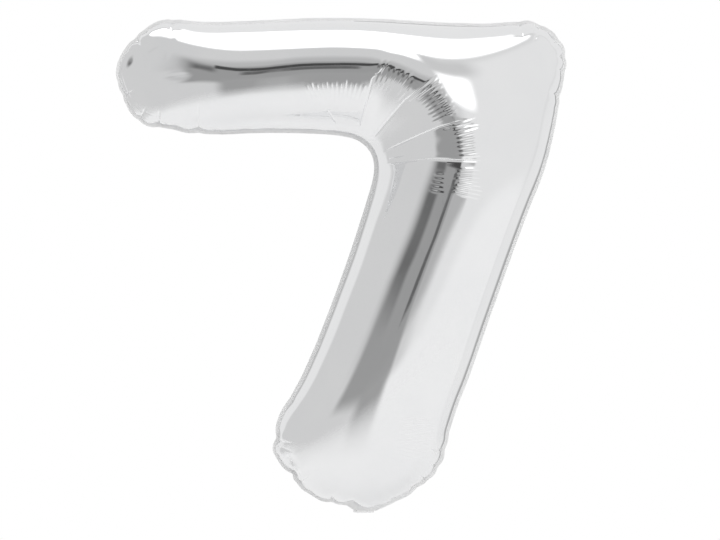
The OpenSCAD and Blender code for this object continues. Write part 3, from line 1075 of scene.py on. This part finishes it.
def makeNeckFilm(name, side, node):
    # one folded sheet, from inside the margin to the mouth, which bends at the hinge
    across = np.linspace(-neck["width"] / 2, neck["width"] / 2, neck["columns"] + 1)
    stand = neckStand(across) * (1 if side == "front" else -1)
    # towards the front of the hanging neck, which is the underside of the stored one
    points = neckSurface(across, stand)
    rows, columns = points.shape[:2]
    faces = []
    for i in range(rows - 1):
        for k in range(columns - 1):
            a, b = i * columns + k, i * columns + k + 1
            face = (a, b, b + columns, a + columns)
            faces.append(face if side == "front" else face[::-1])
    piece = newPiece(name, mm(points.reshape(-1, 3)), faces)
    layer = piece.data.uv_layers.new(name="flatCut")
    way = neckPath()
    run = np.r_[0, np.cumsum(np.hypot(np.diff(way[:, 0]), np.diff(way[:, 1])))]
    flat = mm(np.stack(np.meshgrid(across, -run), 2).reshape(-1, 2))
    corner = np.empty(len(piece.data.loops), np.int32)
    piece.data.loops.foreach_get("vertex_index", corner)
    layer.data.foreach_set("uv", flat[corner].ravel().astype(np.float32))
    away = mm(np.tile(neck["width"] / 2 - np.abs(across), rows))
    weld = (away < mm(neck["width"] / 2 - neck["channel"])).astype(np.float32)
    for label, values in (("seamAway", away), ("seamAlong", flat[:, 1]), ("weld", weld)):
        attribute = piece.data.attributes.new(label, "FLOAT", "POINT")
        attribute.data.foreach_set("value", np.asarray(values, np.float32))
    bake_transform(piece)
    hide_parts(node)
    return piece, float(run[-1])


def makeNeckWelds():
    # the fused strip along each edge of the neck
    points, faces = [], []
    half = margin["filmGap"] - weldShape["clear"]
    for side in (-1, 1):
        across = np.array([neck["channel"], neck["width"] / 2 - weldShape["neckShy"]]) * side
        front, back = neckSurface(across, half), neckSurface(across, -half)
        section = np.stack([front[:, 0], front[:, 1], back[:, 1], back[:, 0]], 1)
        faces += stripWalls(len(section), 4, sum(len(p) for p in points))
        points.append(section.reshape(-1, 3))
    piece = newPiece("neckWelds", mm(np.vstack(points)), faces, smooth=False)
    facesOutwards(piece)
    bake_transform(piece)
    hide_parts("neck_edge_welds")
    return piece


neckFront, neckRun = makeNeckFilm("neckFrontFoil", "front", "neck_front_foil")
neckBack = makeNeckFilm("neckBackFoil", "back", "neck_back_foil")[0]
neckWelds = makeNeckWelds()
print("neck ready")

# finishes: the foil mirrors, its welds are frosted, the valve is clear film


def groupOf(name, inputs, outputs):
    group = bpy.data.node_groups.new(name, "ShaderNodeTree")
    for label, kind, value in inputs:
        socket = group.interface.new_socket(name=label, in_out="INPUT", socket_type=kind)
        if value is not None:
            socket.default_value = value
    for label, kind in outputs:
        group.interface.new_socket(name=label, in_out="OUTPUT", socket_type=kind)
    return group, group.nodes.new("NodeGroupInput"), group.nodes.new("NodeGroupOutput")


def noiseNode(tree, vector, scale, detail=2.0, roughness=0.5):
    noise = tree.nodes.new("ShaderNodeTexNoise")
    noise.inputs["Scale"].default_value = scale
    noise.inputs["Detail"].default_value = detail
    noise.inputs["Roughness"].default_value = roughness
    tree.links.new(vector, noise.inputs["Vector"])
    return noise.outputs["Fac"]


def rangeNode(tree, value, low, high, outLow, outHigh):
    node = tree.nodes.new("ShaderNodeMapRange")
    tree.links.new(value, node.inputs["Value"])
    for label, number in (("From Min", low), ("From Max", high), ("To Min", outLow), ("To Max", outHigh)):
        node.inputs[label].default_value = number
    return node.outputs[0]


def makePleatGroup():
    # fine pleats square to the welded seam, which die away from it
    group, given, result = groupOf(
        "seamPleating",
        [
            ("Along", "NodeSocketFloat", 0.0), ("Away", "NodeSocketFloat", 0.0),
            ("Pitch", "NodeSocketFloat", 400.0), ("Reach", "NodeSocketFloat", 0.01),
            ("Depth", "NodeSocketFloat", 0.0001),
        ],
        [("Height", "NodeSocketFloat")],
    )
    place = group.nodes.new("ShaderNodeCombineXYZ")
    along = mathNode(group, "MULTIPLY", given.outputs["Along"], given.outputs["Pitch"])
    group.links.new(along, place.inputs[0])
    group.links.new(mathNode(group, "MULTIPLY", given.outputs["Away"], 25.0), place.inputs[1])
    pleats = noiseNode(group, place.outputs[0], 1.0, 1.5)
    fade = mathNode(group, "DIVIDE", given.outputs["Away"], given.outputs["Reach"])
    fade = mathNode(group, "EXPONENT", mathNode(group, "MULTIPLY", fade, -1.0))
    height = mathNode(group, "MULTIPLY", mathNode(group, "MULTIPLY", pleats, fade), given.outputs["Depth"])
    group.links.new(height, result.inputs["Height"])
    return group


def makeHandlingGroup():
    # what handling leaves on bright film: a slow waver, fine scuffs and faint smears
    group, given, result = groupOf(
        "filmHandling",
        [
            ("Place", "NodeSocketVector", None), ("Waver", "NodeSocketFloat", 0.00003),
            ("Scuff", "NodeSocketFloat", 0.04),
        ],
        [("Height", "NodeSocketFloat"), ("Roughness", "NodeSocketFloat"), ("Tint", "NodeSocketFloat")],
    )
    slow = noiseNode(group, given.outputs["Place"], 14.0, 2.0)
    fine = noiseNode(group, given.outputs["Place"], 95.0, 3.0)
    smear = noiseNode(group, given.outputs["Place"], 6.0, 4.0, 0.65)
    group.links.new(mathNode(group, "MULTIPLY", slow, given.outputs["Waver"]), result.inputs["Height"])
    scuffs = rangeNode(group, fine, 0.52, 0.75, 0.0, 1.0)
    group.links.new(mathNode(group, "MULTIPLY", scuffs, given.outputs["Scuff"]), result.inputs["Roughness"])
    group.links.new(rangeNode(group, smear, 0.3, 0.75, 0.0, 1.0), result.inputs["Tint"])
    return group


pleatGroup = makePleatGroup()
handlingGroup = makeHandlingGroup()


def newMaterial(name):
    material = bpy.data.materials.new(name)
    material.use_nodes = True
    return material, material.node_tree, material.node_tree.nodes["Principled BSDF"]


def placeGroup(tree, group, **values):
    node = tree.nodes.new("ShaderNodeGroup")
    node.node_tree = group
    for label, value in values.items():
        if hasattr(value, "links"):
            tree.links.new(value, node.inputs[label])
        else:
            node.inputs[label].default_value = value
    return node.outputs


def attributeNode(tree, name):
    node = tree.nodes.new("ShaderNodeAttribute")
    node.attribute_name = name
    return node.outputs["Fac"]


def bumpFrom(tree, height, shader):
    bump = tree.nodes.new("ShaderNodeBump")
    bump.inputs["Strength"].default_value = 1.0
    bump.inputs["Distance"].default_value = 1.0
    tree.links.new(height, bump.inputs["Height"])
    tree.links.new(bump.outputs[0], shader.inputs["Normal"])


def mixColours(tree, share, first, second):
    mix = tree.nodes.new("ShaderNodeMix")
    mix.data_type = "RGBA"
    tree.links.new(share, mix.inputs[0])
    mix.inputs[6].default_value = first
    mix.inputs[7].default_value = second
    return mix.outputs[2]


foilLook = {
    "bright": (0.925, 0.928, 0.932, 1),
    "smeared": (0.885, 0.89, 0.9, 1),
    "frosted": (0.97, 0.97, 0.97, 1),
    "gloss": 0.045,  # roughness of clean film
    "weldRough": 0.55,
    "weldMetal": 0.0,
    "pleatDepth": 0.00003,
    "pleatReach": 0.007,
    "pleatPitch": 420.0,  # pleats in a metre, roughly
    "waver": 0.00012,
    "scuff": 0.05,
}


def makeFoil():
    material, tree, shader = newMaterial("silverFoil")
    place = tree.nodes.new("ShaderNodeTexCoord").outputs["Object"]
    weld = attributeNode(tree, "weld")
    pleats = placeGroup(
        tree, pleatGroup, Along=attributeNode(tree, "seamAlong"), Away=attributeNode(tree, "seamAway"),
        Pitch=foilLook["pleatPitch"], Reach=foilLook["pleatReach"], Depth=foilLook["pleatDepth"],
    )
    wear = placeGroup(tree, handlingGroup, Place=place, Waver=foilLook["waver"], Scuff=foilLook["scuff"])
    height = mathNode(tree, "ADD", pleats["Height"], wear["Height"])
    bumpFrom(tree, height, shader)
    rough = mathNode(tree, "ADD", wear["Roughness"], foilLook["gloss"])
    frost = mathNode(tree, "MULTIPLY", weld, foilLook["weldRough"])
    rough = mathNode(tree, "ADD", rough, frost, clamp=True)
    tree.links.new(rough, shader.inputs["Roughness"])
    metal = mathNode(tree, "SUBTRACT", 1.0, mathNode(tree, "MULTIPLY", weld, 1 - foilLook["weldMetal"]))
    tree.links.new(metal, shader.inputs["Metallic"])
    film = mixColours(tree, wear["Tint"], foilLook["bright"], foilLook["smeared"])
    mix = tree.nodes.new("ShaderNodeMix")
    mix.data_type = "RGBA"
    tree.links.new(weld, mix.inputs[0])
    tree.links.new(film, mix.inputs[6])
    mix.inputs[7].default_value = foilLook["frosted"]
    tree.links.new(mix.outputs[2], shader.inputs["Base Color"])
    return material


plainFilms = {
    # colour when clean and when handled, roughness, and how much it scuffs and wavers
    "weldLayer": {
        "clean": (0.86, 0.87, 0.88, 1), "handled": (0.78, 0.79, 0.8, 1), "rough": 0.3, "scuff": 0.2,
        "waver": 0.0002, "alpha": 1.0,
    },
    "valveFilm": {
        "clean": (0.93, 0.94, 0.95, 1), "handled": (0.86, 0.88, 0.9, 1), "rough": 0.16, "scuff": 0.15,
        "waver": 0.0002, "alpha": 0.45,
    },
    "heatproofInk": {
        "clean": (0.34, 0.36, 0.39, 1), "handled": (0.26, 0.28, 0.31, 1), "rough": 0.55, "scuff": 0.3,
        "waver": 0.0001, "alpha": 1.0,
    },
}


def makePlainFilm(name):
    look = plainFilms[name]
    material, tree, shader = newMaterial(name)
    place = tree.nodes.new("ShaderNodeTexCoord").outputs["Object"]
    wear = placeGroup(tree, handlingGroup, Place=place, Waver=look["waver"], Scuff=look["scuff"])
    bumpFrom(tree, wear["Height"], shader)
    tree.links.new(mathNode(tree, "ADD", wear["Roughness"], look["rough"]), shader.inputs["Roughness"])
    colour = mixColours(tree, wear["Tint"], look["clean"], look["handled"])
    tree.links.new(colour, shader.inputs["Base Color"])
    shader.inputs["Alpha"].default_value = look["alpha"]
    return material


silverFoil = makeFoil()
weldLayer, valveFilm, heatproofInk = (makePlainFilm(name) for name in plainFilms)
for piece in (frontFoil, backFoil, neckFront, neckBack):
    piece.data.materials.append(silverFoil)
for piece in (edgeWeld, neckWelds):
    piece.data.materials.append(weldLayer)
for nodeName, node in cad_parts.items():
    finish = heatproofInk if "print" in nodeName else weldLayer if "bond" in nodeName else valveFilm
    if not node.hide_render:
        node.data.materials.clear()
        node.data.materials.append(finish)
print("finishes ready")


# the flat cut line of the panels, with the corners rounded


cutLine = evenly(roundedOutline(panelCut["corners"], 3), panelCut["spacing"])
